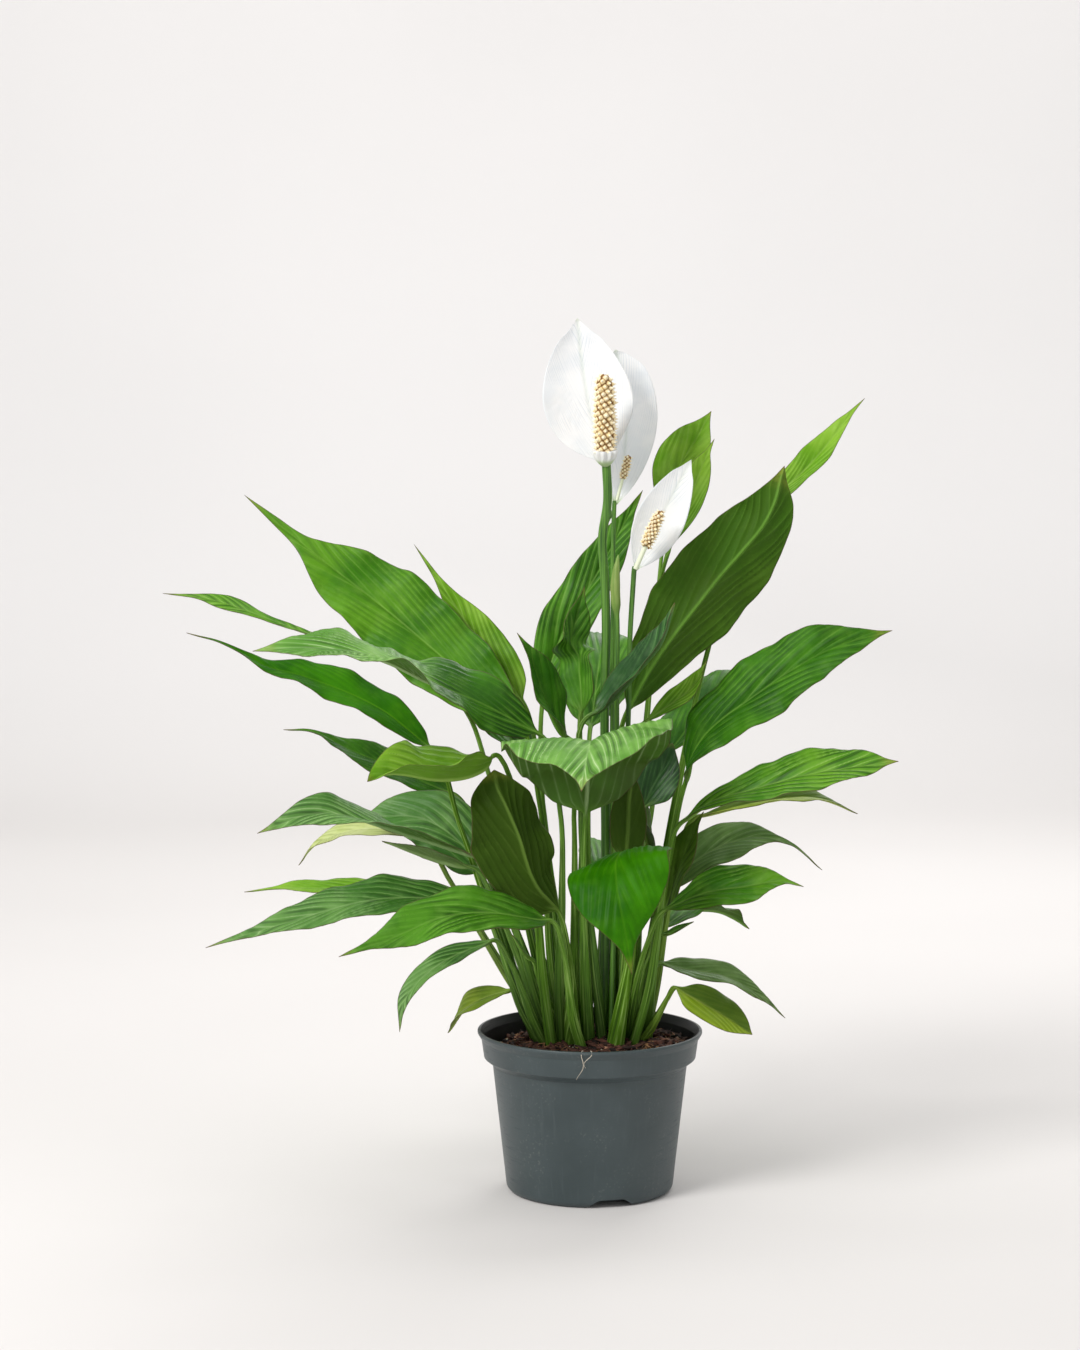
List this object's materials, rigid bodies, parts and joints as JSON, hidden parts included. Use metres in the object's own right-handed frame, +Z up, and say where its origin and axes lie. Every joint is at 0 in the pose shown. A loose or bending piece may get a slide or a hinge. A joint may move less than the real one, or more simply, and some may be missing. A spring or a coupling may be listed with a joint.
{
  "type": "potted peace lily",
  "caption": "Potted peace lily: arching clump of long-stalked lance-shaped leaves with white hooded flowers on tall stalks, in a round tapered nursery pot with a rim band.",
  "frame": {"origin": "centre of the pot's flat foot, on the surface it stands on", "axes": "+Z up; -Y is the front, the side where the two largest blades face; +X to the viewer's right"},
  "size_m": [0.58, 0.392, 0.673],
  "materials": {
    "pot_plastic": "satin injection-moulded polypropylene",
    "potting_mix": "damp peat and bark chips",
    "leaf_green": "satin, glossy on the upper face",
    "leaf_pale": "satin, yellow-green",
    "flower_stalk": "satin",
    "spathe_white": "soft, slightly translucent",
    "spadix_cream": "knobbly, matte",
    "flower_bud": "satin"
  },
  "bodies": {
    "root": {"pot": "pot_plastic", "potting_mix": "potting_mix", "leaf_left_crown": "leaf_green", "leaf_left_crown_rear": "leaf_green", "leaf_left_arching": "leaf_green", "leaf_left_bright": "leaf_green", "leaf_left_far_tip": "leaf_green", "leaf_left_dark": "leaf_green", "leaf_left_folded": "leaf_green", "leaf_left_bent": "leaf_green", "leaf_left_under": "leaf_green", "leaf_left_pale": "leaf_pale", "leaf_left_inner": "leaf_green", "leaf_left_low_rear": "leaf_green", "leaf_left_low": "leaf_green", "leaf_left_low_front": "leaf_green", "leaf_left_drooping": "leaf_green", "leaf_left_small": "leaf_pale", "leaf_left_tiny": "leaf_green", "leaf_front_broad": "leaf_green", "leaf_front_drooping": "leaf_green", "leaf_front_upright": "leaf_green", "leaf_middle_dark": "leaf_green", "leaf_middle_blue": "leaf_green", "leaf_middle_upright": "leaf_green", "leaf_middle_tall": "leaf_green", "leaf_middle_hanging": "leaf_green", "leaf_right_top_thin": "leaf_green", "leaf_right_top_folded": "leaf_green", "leaf_right_top_small": "leaf_green", "leaf_right_crown": "leaf_green", "leaf_right_sprig": "leaf_green", "leaf_right_large": "leaf_green", "leaf_right_wavy": "leaf_green", "leaf_right_hidden": "leaf_pale", "leaf_right_arching": "leaf_green", "leaf_right_striped": "leaf_green", "leaf_right_inner": "leaf_green", "leaf_right_grey": "leaf_green", "leaf_right_behind": "leaf_green", "leaf_right_low": "leaf_green", "leaf_right_yellow": "leaf_pale", "leaf_right_tiny": "leaf_green", "leaf_rear_left": "leaf_green", "leaf_rear_middle": "leaf_green", "leaf_rear_right": "leaf_green", "leaf_rear_low": "leaf_green", "leaf_rear_low_left": "leaf_green", "leaf_rear_low_right": "leaf_green", "flower_main_stalk": "flower_stalk", "flower_main_spathe": "spathe_white", "flower_main_spadix": "spadix_cream", "flower_rear_stalk": "flower_stalk", "flower_rear_spathe": "spathe_white", "flower_rear_spadix": "spadix_cream", "flower_low_stalk": "flower_stalk", "flower_low_spathe": "spathe_white", "flower_low_spadix": "spadix_cream", "flower_bud": "flower_bud"}
  },
  "joints": []
}
